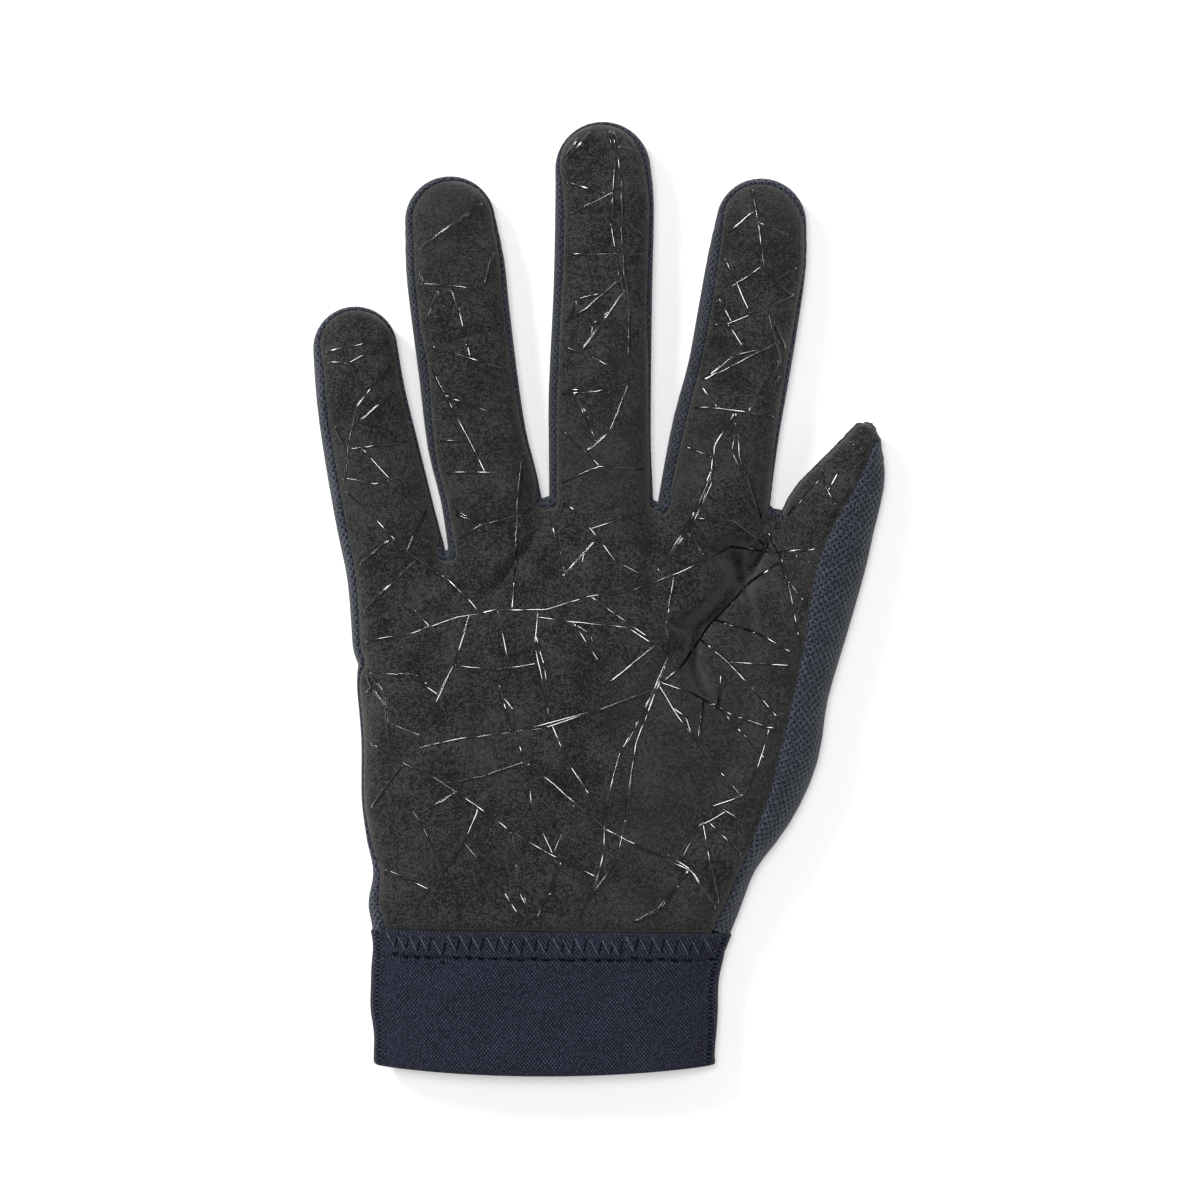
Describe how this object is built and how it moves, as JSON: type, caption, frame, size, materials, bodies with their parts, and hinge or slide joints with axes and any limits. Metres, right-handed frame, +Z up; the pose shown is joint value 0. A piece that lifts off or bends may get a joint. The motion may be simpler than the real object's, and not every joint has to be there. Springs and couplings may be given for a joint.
{
  "type": "sport glove",
  "caption": "Full-finger sport glove for the right hand, lying palm up: dark suede palm and finger fronts, mesh back and finger sides, elastic knit cuff open at the wrist.",
  "frame": {"origin": "middle of the glove's outline seen from above, on the surface that it lies on", "axes": "+X towards the thumb, +Y towards the fingertips, +Z up out of the palm"},
  "size_m": [0.1344, 0.2238, 0.0179],
  "materials": {
    "suede": "matte",
    "mesh_knit": "matte",
    "cuff_knit": "matte"
  },
  "bodies": {
    "root": {"palm_panel": "suede", "back_panel": "mesh_knit", "fourchette_little_ring": "mesh_knit", "fourchette_ring_middle": "mesh_knit", "fourchette_middle_index": "mesh_knit", "cuff_palm": "cuff_knit", "cuff_back": "cuff_knit"}
  },
  "joints": []
}
